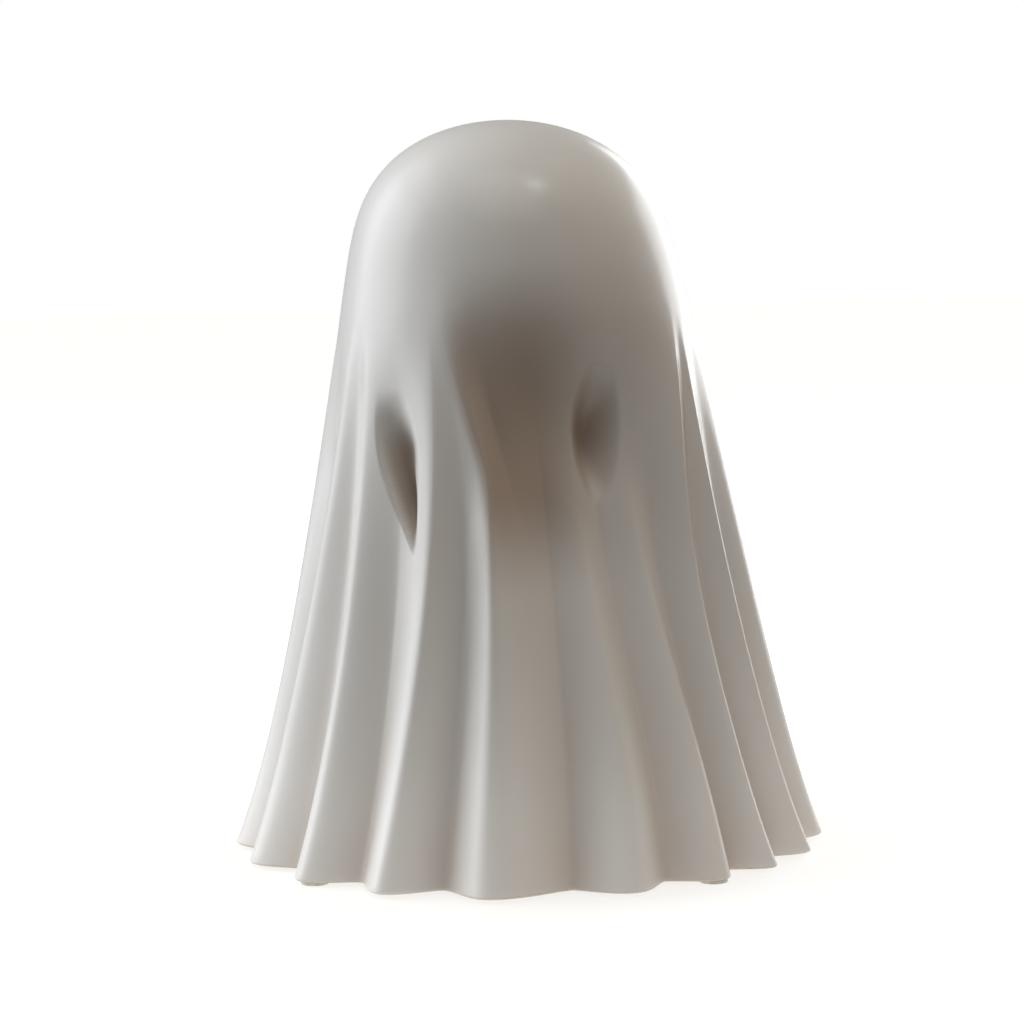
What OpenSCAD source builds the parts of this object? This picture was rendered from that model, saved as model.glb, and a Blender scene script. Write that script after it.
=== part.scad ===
// Ghost figure: a bed sheet draped over a round head, slip-cast in one piece, glazed, and set on four felt pads.
// The face looks along -Y. An azimuth is counted in degrees from the middle of the face towards +X, and a height
// is counted from the foot rim, which the pads lift off the shelf. Left and right are as seen from the front.

/* [Sheet] */
// Height from the foot rim to the shoulders, where the head starts to close in
skirt_h = 151; // [130:1:190]
// Height of the rounded head above the shoulders
head_h = 48; // [40:1:70]
// Radius at the shoulders
shoulder_r = 46.9; // [43:0.1:58]
// Radius over the pleat crests at the hem
hem_r = 81.7; // [72:0.1:100]
// Part of the hem radius that flares out just above the foot
hem_flare = 5.5; // [0:0.5:10]
// Height in which the flare dies away to a third
flare_h = 26; // [12:1:50]
// How far the crown leans to the left
crown_lean = 3.2; // [0:0.1:8]
// How far the middle of the figure bows out to the right
middle_bow = 1.6; // [0:0.1:4]
// Fired wall thickness
wall_t = 5; // [3.5:0.5:6.5]
// Width of the bevel round the outer edge of the foot rim
foot_bevel = 1; // [0.5:0.25:2]

/* [Pleats] */
// Depth of the pleats at the hem
pleat_depth = 10.5; // [4:0.5:14]
// Distance from the shoulders down to where the pleats start
pleat_drop = 1; // [0:1:25]

/* [Sunken face] */
// Depth of the sunken face under the brow
face_depth = 14; // [0:0.5:16]
// Distance from the shoulders down to the deepest level of the face
face_drop = 53; // [20:1:65]
// Height of the sunken face above its deepest level
brow_h = 66; // [30:1:76]
// Height below its deepest level in which the face dies away
chin_h = 94; // [40:1:98]

/* [Left eye] */
// Distance from the shoulders down to the top of the hollow
left_eye_drop = 26; // [10:1:50]
// Width of the hollow
left_eye_w = 17; // [8:0.5:22]
// Length of the hollow
left_eye_h = 41; // [24:1:56]
// Depth of the hollow
left_eye_depth = 6.5; // [2:0.5:12]

/* [Right eye] */
// Distance from the shoulders down to the middle of the hollow
right_eye_drop = 35; // [15:1:60]
// Width of the hollow
right_eye_w = 20; // [8:0.5:24]
// Length of the hollow
right_eye_h = 38; // [24:1:56]
// Depth of the hollow
right_eye_depth = 7; // [2:0.5:8]

/* [Felt pads] */
// Diameter of each pad
pad_d = 7.5; // [5:0.5:8]
// Thickness of each pad
pad_t = 1; // [0.5:0.1:3]
// Distance from the inner edge of the foot rim to a pad
pad_edge = 0.5; // [0:0.1:1]

/* [Hidden] */

// Azimuths of each pleat's crest at the hem, a third and two thirds of the way up, and where the pleat starts
PLEAT_TURNS = [
    [-61, -60.5, -56.5, -57],
    [-40, -39.7, -40.4, -46],
    [-20, -17.5, -15.8, -21],
    [1, 1, 0, -8],
    [29, 30, 27.5, 24],
    [49, 49.5, 48.5, 49],
    [63.5, 61.2, 63.5, 71],
    [79.5, 74.3, 72.3, 77],
    [98, 94, 92, 92],
    [117, 113, 111, 111],
    [137, 134, 131, 131],
    [157, 155, 153, 153],
    [178, 176, 177, 177],
    [198, 198, 197, 197],
    [218, 219, 217, 217],
    [239, 241, 238, 239],
    [258, 261, 259, 260],
    [278, 280, 281, 281]
];
PLEATS = len(PLEAT_TURNS);
// In the same order: the height of each crest as a share of the pleat depth
HEIGHT_SHARES = [0.9, 0.95, 1, 1, 0.92, 0.85, 0.9, 0.95, 1, 0.95, 1, 0.9, 1, 0.95, 0.9, 1, 0.95, 1];
// How high each pleat starts, as a share of the height of the pleats
START_SHARES = [1, 1, 1, 0.8, 0.84, 0.8, 1, 1, 1, 1, 1, 1, 1, 1, 1, 1, 1, 1];
// Where the valley after each crest lies, as a share of the way to the next crest
VALLEY_SHARES = [0.5, 0.5, 0.5, 0.6, 0.5, 0.5, 0.5, 0.5, 0.5, 0.5, 0.5, 0.5, 0.5, 0.5, 0.5, 0.5, 0.5, 0.5];
// Power of each pleat's left and right side: the larger, the more its foot spreads into the valley
LEFT_POWER_SHARES = [1.5, 1.7, 1.7, 1.7, 0.9, 1.2, 1.5, 1.5, 1.4, 1.4, 1.4, 1.4, 1.4, 1.4, 1.4, 1.4, 1.4, 1.4];
RIGHT_POWER_SHARES = [1.5, 1.7, 1.7, 1.1, 1.4, 1.3, 1.8, 1.8, 1.4, 1.4, 1.4, 1.4, 1.4, 1.4, 1.4, 1.4, 1.4, 1.4];
// How round each crest is on its left and right side, from 0 for a crease
LEFT_ROUND_SHARES = [0.2, 0.12, 0.1, 0.12, 0.3, 0.2, 0.08, 0.08, 0.2, 0.2, 0.2, 0.2, 0.2, 0.2, 0.2, 0.2, 0.2, 0.2];
RIGHT_ROUND_SHARES = [0.2, 0.1, 0.08, 0.1, 0.3, 0.2, 0.05, 0.05, 0.2, 0.2, 0.2, 0.2, 0.2, 0.2, 0.2, 0.2, 0.2, 0.2];
// Share of the height of the pleats in which a pleat fades in, and how far along that is for one from the shoulders
FADE_IN_SHARE = 0.2;
SHOULDER_FADE_SHARE = 0.35;
// Power of the growth of the pleats from the shoulders to the hem, and how fast it sets in
GROWTH_POWER_SHARE = 0.95;
GROWTH_ONSET_SHARE = 10;
// Share of a pleat's steepness power that holds at the hem
HEM_POWER_SHARE = 0.6;
// How much rounder a crest gets towards the hem and towards its start, with the power of each
HEM_ROUND_SHARES = [1.5, 2];
START_ROUND_SHARES = [2, 4];
// Part of a pleat that is a wave at the hem, the power of its fading upwards, and the power of the wave itself
WAVE_SHARES = [0.75, 1.6, 0.8];
// Share of a pleat that the inside of the cast wall follows
INNER_PLEAT_SHARE = 0.5;
// Powers of the head's outline: the larger the first, the squarer its shoulders, and the second, its crown
HEAD_POWER_SHARES = [3.9, 2];

// Azimuths of the face's left rim at its chin and at its brow, and the heights of both as shares of the skirt
FACE_RIM_TURNS = [0, -15.5];
FACE_RIM_SHARES = [0.66, 0.99];
// Degrees in which the rim drops, from where it is crisp to the brow, and what the pleat adds towards the chin
RIM_WIDTH_TURNS = [5, 16];
CHIN_WIDTH_TURNS = 8;
RIM_SOFT_SHARES = [0.74, 1.04];
CHIN_SOFT_SHARES = [0.56, 0.7];
// Share of the depth at the rim itself, and the degrees in which the face falls further
RIM_DEPTH_SHARE = 0.5;
FACE_FALL_TURNS = 28;
// Azimuths between which the face comes out again on its right
FACE_FADE_TURNS = [42, 72];

// Azimuth of the left eye's right edge, which follows a pleat, and of the middle of the right eye
LEFT_EYE_TURN = -20;
RIGHT_EYE_TURN = 38.5;
// Power of the left eye's floor at its right, and at its left lip below and above, with the heights of the change
LEFT_EYE_FLOOR_SHARE = 1.6;
LEFT_EYE_LIP_SHARES = [0.5, 1.5];
LEFT_EYE_CHANGE_SHARES = [0.55, 1.05];
// Share of its width that is filled in at its top right, with the heights of the change
LEFT_EYE_FILL_SHARE = 0.3;
LEFT_EYE_FILL_SHARES = [0.6, 1.1];
// Shares of the eye's height between which its top fades out, and its width at which its tip is fully deep
LEFT_EYE_TOP_SHARES = [1.1, 0.65];
LEFT_EYE_TIP_SHARE = 0.7;
// Power of the right eye's side
RIGHT_EYE_SIDE_SHARE = 1.5;
// Shares of the wall by which the face's rim moves out on the inside, and the eyes get deeper there
RIM_MARGIN_SHARE = 0.6;
EYE_MARGIN_SHARE = 0.5;
// The pleats whose crests carry a pad, counted from 0: front left, front right, rear right, rear left
PAD_PLEATS = [1, 5, 10, 14];

// The skin's columns run along the pleats, with this many to each pleat, and more of them at the face
PLEAT_COLUMNS = [8, 10, 12, 10, 12, 10, 8, 8, 6, 6, 6, 6, 6, 6, 6, 6, 6, 6];
COLUMN_POWER_SHARE = 1.25;
HEAD_RING_POWER_SHARE = 1.3;
// The share of the skirt below the face, where rings may lie further apart
PLAIN_SHARE = 0.5;
OUTER_RING_SHARES = concat([for (i = [1:6]) PLAIN_SHARE * i / 6], [for (i = [1:16]) blend([PLAIN_SHARE, 1], i / 16)]);
INNER_RING_SHARES = concat([for (i = [1:3]) PLAIN_SHARE * i / 3], [for (i = [1:5]) blend([PLAIN_SHARE, 1], i / 5)]);
OUTER_HEAD_RINGS = 11;
INNER_HEAD_RINGS = 4;
PAD_SIDES = 64;

pleat_top_h = skirt_h - pleat_drop;
face_mid_h = skirt_h - face_drop;
hem_core_r = hem_r - hem_flare;
left_eye_low_h = skirt_h - left_eye_drop - left_eye_h;
right_eye_mid_h = skirt_h - right_eye_drop;

// Small helpers
function wrap(turn) = turn - 360 * round(turn / 360);
function limit(x) = min(1, max(0, x));
function ease(x) = limit(x) * limit(x) * (3 - 2 * limit(x));
function bump(x) = abs(x) < 1 ? (1 + cos(180 * x)) / 2 : 0;
function blend(pair, share) = pair[0] + (pair[1] - pair[0]) * share;
function between(pair, x) = (x - pair[0]) / (pair[1] - pair[0]);

// The sheet's envelope over the pleat crests: a straight taper with a flare at the hem
function envelope_r(z) =
    shoulder_r + (hem_core_r - shoulder_r) * (1 - z / skirt_h) + hem_flare * exp(-z / flare_h);

// How far the head has closed in at a height, from 1 at the shoulders to 0 at the crown
function closing(z, dome_h) =
    z <= skirt_h ? 1 : pow(1 - pow(limit((z - skirt_h) / dome_h), HEAD_POWER_SHARES[0]), 1 / HEAD_POWER_SHARES[1]);

// How far the figure's axis lies to the right at a height
function axis_shift(z) =
    let (up = z / (skirt_h + head_h))
    4 * middle_bow * up * (1 - up) - crown_lean * up;

function pleat_share(z) = limit(z / pleat_top_h);

// Pleat depth at a height: none at the start of the pleats, all of it at the hem
function pleat_growth(z) =
    let (down = 1 - pleat_share(z))
    pow(down, GROWTH_POWER_SHARE) * (1 - exp(-GROWTH_ONSET_SHARE * down));

// Azimuth of a crest at a height: a cubic through its four places
function crest_turn(i, z) =
    let (s = pleat_share(z), turns = PLEAT_TURNS[i % PLEATS])
    turns[0] * (1 - 3 * s) * (2 - 3 * s) * (1 - s) / 2
        + turns[1] * 9 * s * (2 - 3 * s) * (1 - s) / 2
        + turns[2] * 9 * s * (3 * s - 1) * (1 - s) / 2
        + turns[3] * s * (3 * s - 1) * (3 * s - 2) / 2;

// A column is a pleat and a place across it, from -1 in the valley before its crest to 1 in the one after
function column_turn(column, z) =
    let (
        before = (column[0] + PLEATS - 1) % PLEATS,
        left = column[1] < 0,
        crest = crest_turn(column[0], z),
        neighbour = crest_turn(left ? before : column[0] + 1, z),
        valley_share = left ? 1 - VALLEY_SHARES[before] : VALLEY_SHARES[column[0]]
    )
    crest + wrap(neighbour - crest) * valley_share * abs(column[1]);

// How far a pleat stands out of the valleys: a ridge with a rounded crest, which becomes a wave at the hem
function pleat_rise(column, z) =
    let (
        i = column[0],
        x = column[1],
        s = pleat_share(z),
        side_power = (x < 0 ? LEFT_POWER_SHARES : RIGHT_POWER_SHARES)[i],
        side_round = (x < 0 ? LEFT_ROUND_SHARES : RIGHT_ROUND_SHARES)[i],
        power = 1 + (side_power - 1) * blend([HEM_POWER_SHARE, 1], s),
        rounder = HEM_ROUND_SHARES[0] * pow(1 - s, HEM_ROUND_SHARES[1])
            + START_ROUND_SHARES[0] * pow(s, START_ROUND_SHARES[1]),
        soft = side_round * (1 + rounder),
        edge = norm([1, soft]),
        ridge = pow(limit((edge - norm([x, soft])) / (edge - soft)), power),
        wave = WAVE_SHARES[0] * pow(1 - s, WAVE_SHARES[1]),
        head_start = START_SHARES[i] < 1 ? 0 : SHOULDER_FADE_SHARE,
        young = ease((START_SHARES[i] - s) / FADE_IN_SHARE + head_start)
    )
    pleat_depth
        * pleat_growth(z)
        * HEIGHT_SHARES[i]
        * young
        * blend([ridge, pow(bump(x), WAVE_SHARES[2])], wave);

// Distance along the skin from an azimuth, to the right, and back to degrees
function across(turn, from, z) = envelope_r(z) * wrap(turn - from) * PI / 180;
function turn_for(length, z) = length / envelope_r(z) * 180 / PI;

// Depth of the sunken face: a crisp left rim that leans into the brow, a further fall, and a soft right side.
// margin moves the rim out, for the inside of the wall
function face_sink(turn, z, margin) =
    let (
        h = z / skirt_h,
        rim_turn = blend(FACE_RIM_TURNS, ease(between(FACE_RIM_SHARES, h))) - turn_for(margin * RIM_MARGIN_SHARE, z),
        width = blend(RIM_WIDTH_TURNS, ease(between(RIM_SOFT_SHARES, h)))
            + CHIN_WIDTH_TURNS * (1 - ease(between(CHIN_SOFT_SHARES, h))),
        inward = turn - rim_turn,
        above = z - face_mid_h
    )
    face_depth
        * blend([ease(inward / FACE_FALL_TURNS), ease(inward / width)], RIM_DEPTH_SHARE)
        * (1 - ease(between(FACE_FADE_TURNS, turn)))
        * bump(above / (above > 0 ? brow_h : chin_h));

// Depth of the left eye: a teardrop between a lip that leans left on its way up and the pleat on its right.
// margin widens and deepens the hollow, for the inside of the wall
function left_eye_sink(turn, z, margin) =
    let (
        up = (z - left_eye_low_h + margin) / (left_eye_h + 2 * margin),
        wide = (left_eye_w + 2 * margin) * limit(up) * (2 - limit(up)),
        fill = wide * LEFT_EYE_FILL_SHARE * ease(between(LEFT_EYE_FILL_SHARES, up)),
        u = wide > 0 ? limit(1 + (across(turn, LEFT_EYE_TURN, z) - margin + fill) / (wide - fill)) : 0,
        lip = blend(LEFT_EYE_LIP_SHARES, ease(between(LEFT_EYE_CHANGE_SHARES, up))),
        deepest = lip / (lip + LEFT_EYE_FLOOR_SHARE)
    )
    (left_eye_depth + margin * EYE_MARGIN_SHARE)
        * pow(u / deepest, lip)
        * pow((1 - u) / (1 - deepest), LEFT_EYE_FLOOR_SHARE)
        * ease(between(LEFT_EYE_TOP_SHARES, up))
        * ease(wide / (LEFT_EYE_TIP_SHARE * left_eye_w));

// Depth of the right eye: a soft oval
function right_eye_sink(turn, z, margin) =
    let (
        u = across(turn, RIGHT_EYE_TURN, z) / (right_eye_w / 2 + margin),
        v = (z - right_eye_mid_h) / (right_eye_h / 2 + margin)
    )
    (right_eye_depth + margin * EYE_MARGIN_SHARE) * pow(limit(1 - u * u - v * v), RIGHT_EYE_SIDE_SHARE);

function sinks(turn, z, margin) =
    face_sink(turn, z, margin) + left_eye_sink(turn, z, margin) + right_eye_sink(turn, z, margin);

// Radius of the skin along a column: the outer skin at depth 0, the inner one a wall deeper
function skin_r(column, z, depth, dome_h, pleat_share) =
    let (valley_r = envelope_r(z) - pleat_depth * pleat_growth(z) - depth)
    closing(z, dome_h)
        * (valley_r + pleat_share * pleat_rise(column, z) - sinks(column_turn(column, z), z, depth));

function polar(turn, r, z) = [r * sin(turn) + axis_shift(z), -r * cos(turn), z];

function ring(z, depth, dome_h, pleat_share, trim) =
    [for (c = columns) polar(column_turn(c, z), skin_r(c, z, depth, dome_h, pleat_share) - trim, z)];

function head_height(i, rings, dome_h) =
    skirt_h + dome_h * pow(sin(90 * pow(i / rings, HEAD_RING_POWER_SHARE)), 2 / HEAD_POWER_SHARES[0]);

// Columns lie closer together at a crest
columns = [
    for (i = [0:PLEATS - 1], k = [0:PLEAT_COLUMNS[i] - 1])
        let (even = 2 * k / PLEAT_COLUMNS[i] - 1)
        [i, sign(even) * pow(abs(even), COLUMN_POWER_SHARE)]
];

function outer_ring(z) = ring(z, 0, head_h, 1, 0);
function inner_ring(z) = ring(z, wall_t, head_h - wall_t, INNER_PLEAT_SHARE, 0);

hem_ring = outer_ring(foot_bevel);
hem_mid = [for (k = [0:1]) (max([for (p = hem_ring) p[k]]) + min([for (p = hem_ring) p[k]])) / 2];

// The rings run from the crown down the inside, across the foot and up the outside to the crown again
inner_heights = concat(
    [for (i = [INNER_HEAD_RINGS - 1:-1:1]) head_height(i, INNER_HEAD_RINGS, head_h - wall_t)],
    [for (i = [len(INNER_RING_SHARES) - 1:-1:0]) INNER_RING_SHARES[i] * skirt_h],
    [0]
);
outer_heights = concat(
    [for (share = OUTER_RING_SHARES) blend([foot_bevel, skirt_h], share)],
    [for (i = [1:OUTER_HEAD_RINGS - 1]) head_height(i, OUTER_HEAD_RINGS, head_h)]
);

module ghost_shell() {
    rings = concat(
        [for (z = inner_heights) inner_ring(z)],
        [ring(0, 0, head_h, 1, foot_bevel), hem_ring],
        [for (z = outer_heights) outer_ring(z)]
    );
    inner_crown = polar(0, 0, skirt_h + head_h - wall_t);
    outer_crown = polar(0, 0, skirt_h + head_h);
    points = concat([inner_crown], [for (r = rings) each r], [outer_crown]);
    last = len(rings) - 1;
    wide = len(columns);
    function at(k, j) = 1 + k * wide + j % wide;
    faces = concat(
        [for (j = [0:wide - 1]) [0, at(0, j), at(0, j + 1)]],
        [
            for (k = [0:last - 1], j = [0:wide - 1])
                each [[at(k, j), at(k + 1, j), at(k + 1, j + 1)], [at(k, j), at(k + 1, j + 1), at(k, j + 1)]]
        ],
        [for (j = [0:wide - 1]) [at(last, j), len(points) - 1, at(last, j + 1)]]
    );
    color([0.9, 0.89, 0.86])
        translate([-hem_mid[0], -hem_mid[1], pad_t])
            polyhedron(points, faces);
}

// A pad sits under one pleat's crest, where the foot rim is widest, near the rim's inner edge
module felt_pad(pleat) {
    crest = [pleat, 0];
    rim_inner_r = skin_r(crest, 0, wall_t, head_h - wall_t, INNER_PLEAT_SHARE);
    pad_r = rim_inner_r + pad_edge + pad_d / 2;
    color([0.82, 0.81, 0.77])
        translate(polar(column_turn(crest, 0), pad_r, 0) - [hem_mid[0], hem_mid[1], 0])
            cylinder(d = pad_d, h = pad_t, $fn = PAD_SIDES);
}

module felt_pad_front_left() {
    felt_pad(PAD_PLEATS[0]);
}

module felt_pad_front_right() {
    felt_pad(PAD_PLEATS[1]);
}

module felt_pad_rear_right() {
    felt_pad(PAD_PLEATS[2]);
}

module felt_pad_rear_left() {
    felt_pad(PAD_PLEATS[3]);
}

ghost_shell();
felt_pad_front_left();
felt_pad_front_right();
felt_pad_rear_right();
felt_pad_rear_left();
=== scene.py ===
# %% [markdown]
# A glazed ceramic ghost
#
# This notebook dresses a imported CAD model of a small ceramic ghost: a bed sheet draped over a round head, cast in
# stoneware and covered with a satin glaze. The CAD model is the fixed frame. It is loaded first, its box is kept, and
# every new piece is made in the same place and at the same size.

import math

import bmesh
import bpy
import numpy as np
from mathutils import Matrix, Vector, noise


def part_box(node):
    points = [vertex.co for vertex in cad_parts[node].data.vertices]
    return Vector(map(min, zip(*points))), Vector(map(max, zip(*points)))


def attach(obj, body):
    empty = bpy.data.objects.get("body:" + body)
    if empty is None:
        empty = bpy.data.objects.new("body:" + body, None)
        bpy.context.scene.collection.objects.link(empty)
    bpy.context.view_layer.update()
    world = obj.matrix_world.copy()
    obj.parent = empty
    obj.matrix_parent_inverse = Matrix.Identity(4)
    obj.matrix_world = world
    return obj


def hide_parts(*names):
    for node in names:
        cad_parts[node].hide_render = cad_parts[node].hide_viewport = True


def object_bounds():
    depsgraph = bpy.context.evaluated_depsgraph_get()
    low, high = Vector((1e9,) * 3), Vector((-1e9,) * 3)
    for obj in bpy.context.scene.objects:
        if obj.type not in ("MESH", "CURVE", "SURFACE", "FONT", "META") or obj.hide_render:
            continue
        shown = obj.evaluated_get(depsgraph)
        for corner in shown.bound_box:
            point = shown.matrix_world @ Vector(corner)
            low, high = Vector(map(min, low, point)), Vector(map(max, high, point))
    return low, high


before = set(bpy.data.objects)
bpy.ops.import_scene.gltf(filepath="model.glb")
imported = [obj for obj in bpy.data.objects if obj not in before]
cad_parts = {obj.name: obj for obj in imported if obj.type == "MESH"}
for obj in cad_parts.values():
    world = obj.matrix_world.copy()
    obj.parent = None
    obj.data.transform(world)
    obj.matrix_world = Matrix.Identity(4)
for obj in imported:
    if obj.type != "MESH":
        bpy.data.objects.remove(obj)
cad_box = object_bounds()
MM = 0.001
print("CAD nodes:", sorted(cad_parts))
print("CAD box in mm:", [[round(v / MM, 1) for v in corner] for corner in cad_box])

# %% [markdown]
# Smooth steps
#
# Pressed clay has no sudden changes, so the whole form is put together from a few soft steps. Curves drawn by hand
# could do the same, but these are short, and the CAD model uses the same ones.

# %% Smooth steps
def ease(x):
    """A soft step from 0 to 1."""
    x = np.clip(x, 0, 1)
    return x * x * (3 - 2 * x)


def bump(x):
    """A soft hill: 1 in its middle, and 0 from -1 down and from 1 up."""
    return np.where(np.abs(x) < 1, (1 + np.cos(np.pi * x)) / 2, 0)


def blend(low, high, share):
    return low + (high - low) * share


def between(pair, x):
    """The share of the way that x has gone from the pair's first number to its second one."""
    return (x - pair[0]) / (pair[1] - pair[0])


def wrap(turn):
    """The same azimuth, from -180 to 180 degrees."""
    return turn - 360 * np.round(turn / 360)


print("soft step at a quarter, a half and three quarters:", ease(np.array([0.25, 0.5, 0.75])))

# %% [markdown]
# The sizes of the sheet
#
# A slip-cast figure has one set of sizes for its outside and a wall thickness for its inside. The whole form can be
# sculpted by hand, but a rule is easier to keep in step with the CAD model: a straight tapering skirt, a small flare
# at the hem, and a rounded head above the shoulders. The sheet doesn't hang plumb: its crown leans to one side and
# its middle bows out to the other, as on the photographed figure. The pads lift the foot rim off the shelf.

# %% Sheet sizes
PAD_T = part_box("felt_pad_front_left")[1].z
FIGURE_H = cad_box[1].z
SKIRT_H = 151 * MM
HEAD_H = FIGURE_H - PAD_T - SKIRT_H
SHOULDER_R = 46.9 * MM
HEM_R = 81.7 * MM
HEM_FLARE = 5.5 * MM
FLARE_H = 26 * MM
WALL_T = 5 * MM
FOOT_ROUND = 1 * MM
CROWN_LEAN = 3.2 * MM
MIDDLE_BOW = 1.6 * MM
HEAD_POWERS = (3.9, 2.0)


def envelope_r(z):
    """Radius over the crests of the pleats."""
    return blend(HEM_R - HEM_FLARE, SHOULDER_R, z / SKIRT_H) + HEM_FLARE * np.exp(-z / FLARE_H)


def closing(z, head_h):
    """Share of its radius that the figure keeps: all of it up to the shoulders, and nothing at the crown."""
    rise = np.clip((z - SKIRT_H) / head_h, 0, 1)
    return (1 - rise ** HEAD_POWERS[0]) ** (1 / HEAD_POWERS[1])


def axis_shift(z):
    """How far the figure's middle lies to the right at a height."""
    share = z / (SKIRT_H + HEAD_H)
    return 4 * MIDDLE_BOW * share * (1 - share) - CROWN_LEAN * share


radii = [round(float(envelope_r(share * SKIRT_H)) / MM, 1) for share in (0, 0.5, 1)]
print("radius at hem, waist and shoulders in mm:", radii)

# %% [markdown]
# The pleats
#
# Cloth that hangs from a dome has to fold, because its hem is longer than its shoulders. Each pleat is born just under
# the shoulders as a thin ridge, and grows wider and deeper on its way down. A cloth simulation would give pleats too,
# but not these ones, so each crest is given one by one: its azimuth at the hem, at a third and two thirds of the height
# and at its start, its height, how steep and how crisp its two sides are, where the valley after it lies, and how high
# it starts. Azimuth 0 is the middle of the face, and it grows towards the right as seen from the front.

# %% Table of pleats
PLEAT_DEPTH = 10.5 * MM
PLEAT_TOP_H = SKIRT_H - 1 * MM
PLEATS = np.array([
    # hem, third, two thirds, start, height, power left, power right, round left, round right, valley, start height
    (-61, -60.5, -56.5, -57, 0.9, 1.5, 1.5, 0.2, 0.2, 0.5, 1),
    (-40, -39.7, -40.4, -46, 0.95, 1.7, 1.7, 0.12, 0.1, 0.5, 1),
    (-20, -17.5, -15.8, -21, 1, 1.7, 1.7, 0.1, 0.08, 0.5, 1),
    (1, 1, 0, -8, 1, 1.7, 1.1, 0.12, 0.1, 0.6, 0.8),
    (29, 30, 27.5, 24, 0.92, 0.9, 1.4, 0.3, 0.3, 0.5, 0.84),
    (49, 49.5, 48.5, 49, 0.85, 1.2, 1.3, 0.2, 0.2, 0.5, 0.8),
    (63.5, 61.2, 63.5, 71, 0.9, 1.5, 1.8, 0.08, 0.05, 0.5, 1),
    (79.5, 74.3, 72.3, 77, 0.95, 1.5, 1.8, 0.08, 0.05, 0.5, 1),
    (98, 94, 92, 92, 1, 1.4, 1.4, 0.2, 0.2, 0.5, 1),
    (117, 113, 111, 111, 0.95, 1.4, 1.4, 0.2, 0.2, 0.5, 1),
    (137, 134, 131, 131, 1, 1.4, 1.4, 0.2, 0.2, 0.5, 1),
    (157, 155, 153, 153, 0.9, 1.4, 1.4, 0.2, 0.2, 0.5, 1),
    (178, 176, 177, 177, 1, 1.4, 1.4, 0.2, 0.2, 0.5, 1),
    (198, 198, 197, 197, 0.95, 1.4, 1.4, 0.2, 0.2, 0.5, 1),
    (218, 219, 217, 217, 0.9, 1.4, 1.4, 0.2, 0.2, 0.5, 1),
    (239, 241, 238, 239, 1, 1.4, 1.4, 0.2, 0.2, 0.5, 1),
    (258, 261, 259, 260, 0.95, 1.4, 1.4, 0.2, 0.2, 0.5, 1),
    (278, 280, 281, 281, 1, 1.4, 1.4, 0.2, 0.2, 0.5, 1),
])
# Mesh columns given to each pleat: most of them at the left eye and the face
PLEAT_COLUMNS = [24, 60, 68, 40, 44, 28, 28, 28, 20, 16, 16, 16, 16, 16, 16, 16, 16, 20]
# Above 1 the columns lie closer together on a crest than in a valley
CREST_CROWDING = 1.25
print("pleats:", len(PLEATS), "columns:", sum(PLEAT_COLUMNS))

# %% [markdown]
# The paths of the pleats
#
# A crest wanders as it falls, so its path is a cubic curve through the four azimuths in the table. The mesh could be
# an even net with pleats pushed into it, but then a crest would cut across the net and look sawn. So the columns of
# the mesh run along the pleats themselves.

# %% Paths of the pleats
def crest_turns(z):
    """Azimuth of every crest at the heights z: a cubic through its four places."""
    s = np.clip(z / PLEAT_TOP_H, 0, 1)[:, None]
    hem = -4.5 * (s - 1 / 3) * (s - 2 / 3) * (s - 1)
    third = 13.5 * s * (s - 2 / 3) * (s - 1)
    two_thirds = -13.5 * s * (s - 1 / 3) * (s - 1)
    start = 4.5 * s * (s - 1 / 3) * (s - 2 / 3)
    return PLEATS[:, 0] * hem + PLEATS[:, 1] * third + PLEATS[:, 2] * two_thirds + PLEATS[:, 3] * start


def column_places():
    """Pleat index and place of each column, from -1 in a pleat's left valley to 1 in its right one."""
    places = []
    for count in PLEAT_COLUMNS:
        even = np.linspace(-1, 1, count + 1)[:-1]
        places.append(np.sign(even) * np.abs(even) ** CREST_CROWDING)
    return np.repeat(np.arange(len(PLEATS)), PLEAT_COLUMNS), np.concatenate(places)


def column_turns(z, pleat, place):
    """Azimuth of every column at the heights z. Columns run along the pleats, so crests stay crisp."""
    crests = crest_turns(z)
    valley = PLEATS[:, 9]
    before = wrap(np.roll(crests, 1, 1) - crests) * (1 - np.roll(valley, 1))
    after = wrap(np.roll(crests, -1, 1) - crests) * valley
    return crests[:, pleat] + np.where(place < 0, before[:, pleat], after[:, pleat]) * np.abs(place)


beside_face = crest_turns(np.linspace(0, PLEAT_TOP_H, 4))[:, 3]
print("azimuth of the crest beside the face, from the hem up:", beside_face.round(1))

# %% [markdown]
# The shape of a pleat
#
# Up on the figure a pleat is a ridge with a rounded crest. Towards the hem it opens into a wave, because the heavy
# cloth spreads there. One shape for the whole height would be simpler, but the pleats would look pressed with a ruler.
# So each one is a blend of the two shapes, and the wave gets the larger share on the way down.

# %% Shape of a pleat
# How the depth grows on the way down, and how soon it sets in below the shoulders
GROWTH = dict(power=0.95, onset=10)
# Share of a side's steepness that it has at the hem, and what it gains up to its start
STEEPNESS = (0.6, 0.4)
# How much rounder a crest gets at the hem and at its start, and the power with which that fades
ROUNDER = dict(hem=(1.5, 2), start=(2, 4))
# The wave's share at the hem, the power with which that share fades upwards, and the wave's own power
WAVE = dict(most=0.75, fade=1.6, power=0.8)
# Share of the height in which a young pleat swells, and the lead of one that is born at the shoulders
YOUNG = dict(height=0.2, lead=0.35)


def pleat_growth(z):
    down = 1 - np.clip(z / PLEAT_TOP_H, 0, 1)
    return down ** GROWTH["power"] * (1 - np.exp(-GROWTH["onset"] * down))


def crest_roundness(s, left, pleat):
    soft = np.where(left, PLEATS[pleat, 7], PLEATS[pleat, 8])
    at_hem, at_start = ROUNDER["hem"], ROUNDER["start"]
    return soft * (1 + at_hem[0] * (1 - s) ** at_hem[1] + at_start[0] * s ** at_start[1])


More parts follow.
